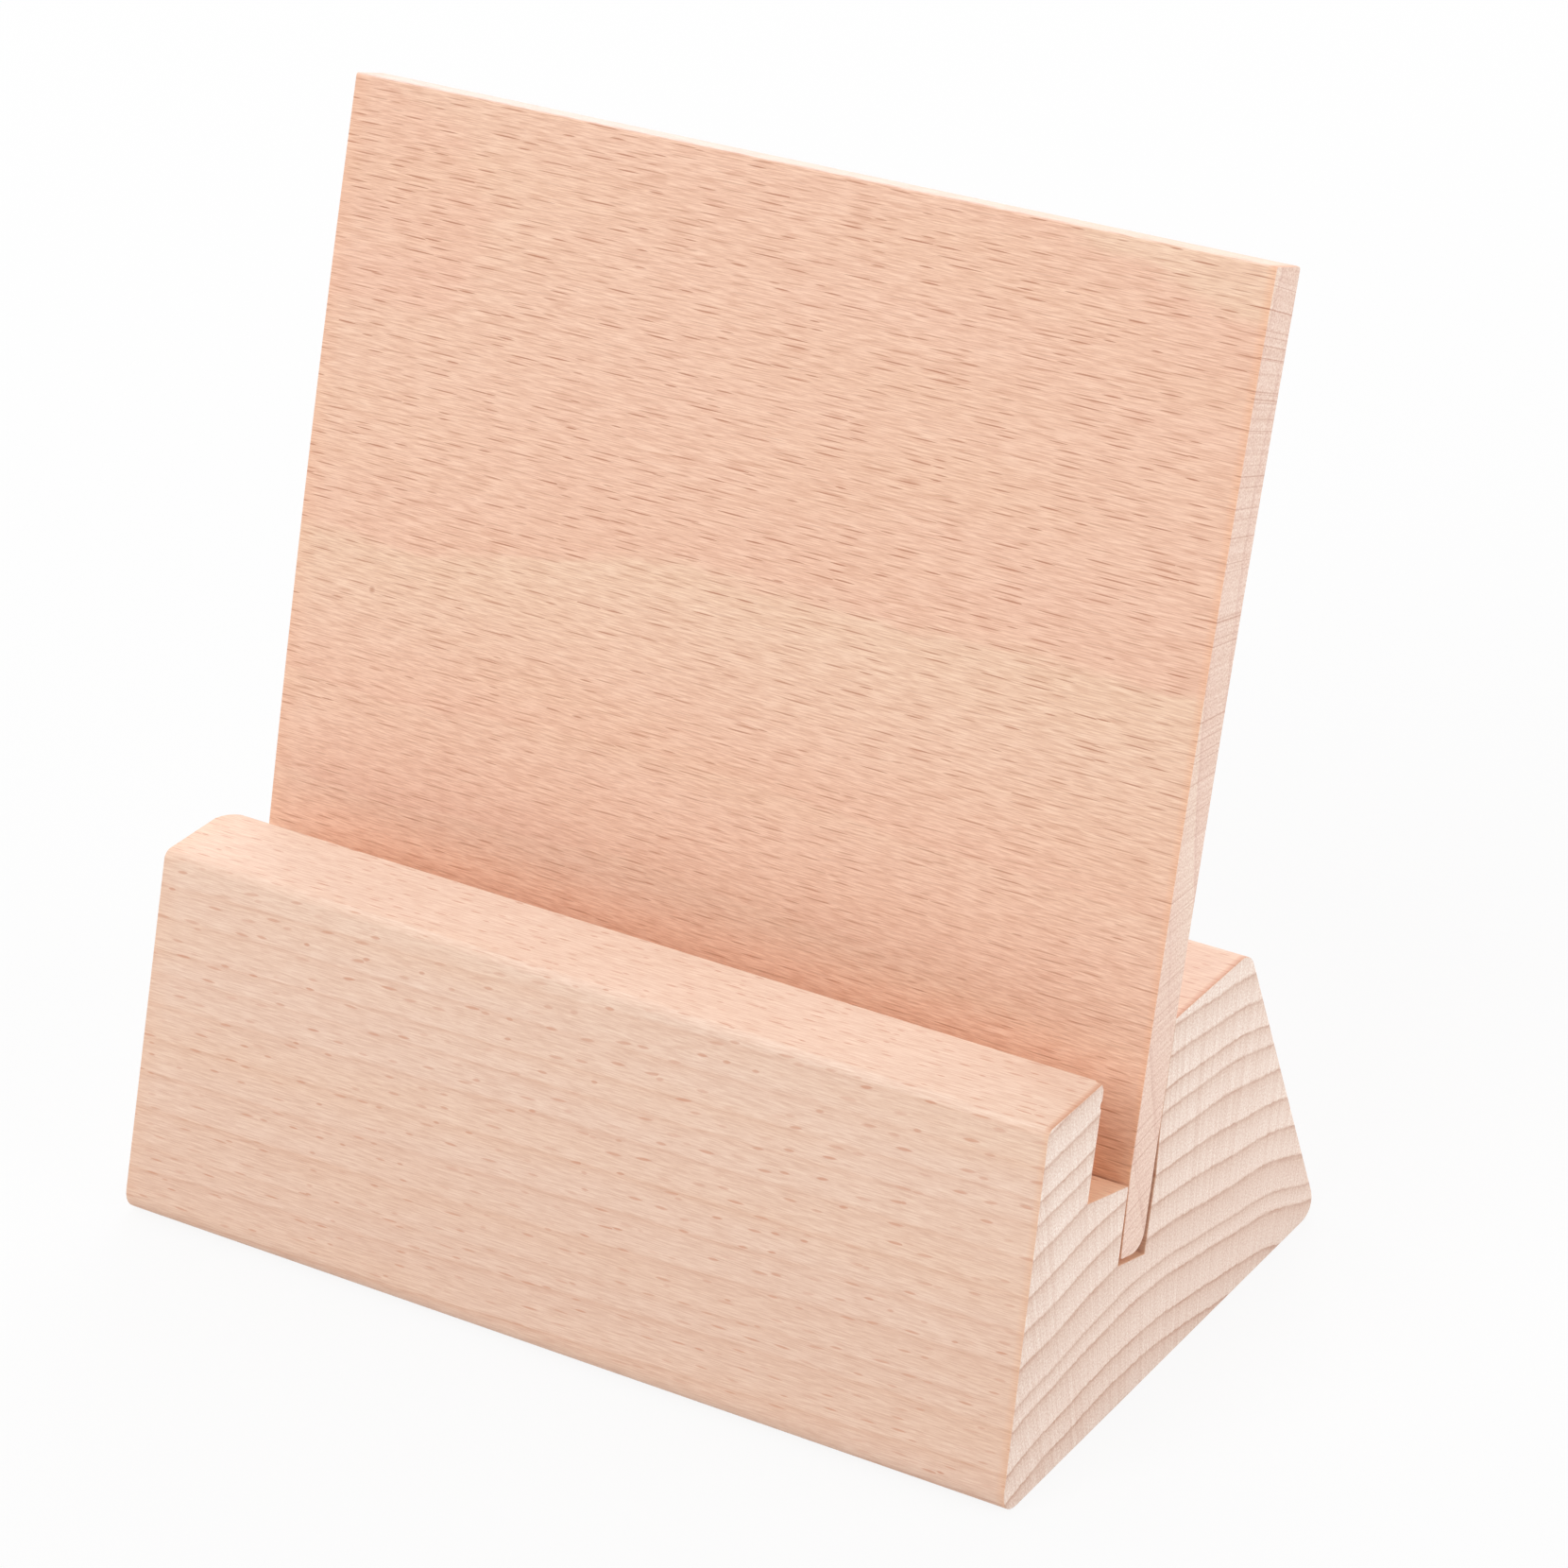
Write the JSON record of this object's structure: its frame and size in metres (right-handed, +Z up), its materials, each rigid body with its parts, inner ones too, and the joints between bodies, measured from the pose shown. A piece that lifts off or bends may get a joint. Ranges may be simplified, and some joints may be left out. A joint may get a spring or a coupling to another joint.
{
  "type": "wooden photo stand",
  "caption": "Desk photo stand: a sloping beech bar with a stepped groove along its top and a thin beech board that stands in the groove, leans back and lifts out.",
  "frame": {"origin": "middle of the block's underside", "axes": "+Z up, +X along the block and its groove, -Y towards the person who looks at the picture"},
  "size_m": [0.1, 0.0574, 0.1013],
  "materials": {
    "beech_block": "sanded, no lacquer",
    "beech_board": "sanded, no lacquer"
  },
  "bodies": {
    "base": {"base_block": "beech_block"},
    "board": {"back_board": "beech_board"}
  },
  "joints": [
    {"name": "board_lift", "type": "slide", "parent": "base", "child": "board", "axis": [0, 0.3106, 0.9505], "range_m": [0, 0.03]}
  ]
}
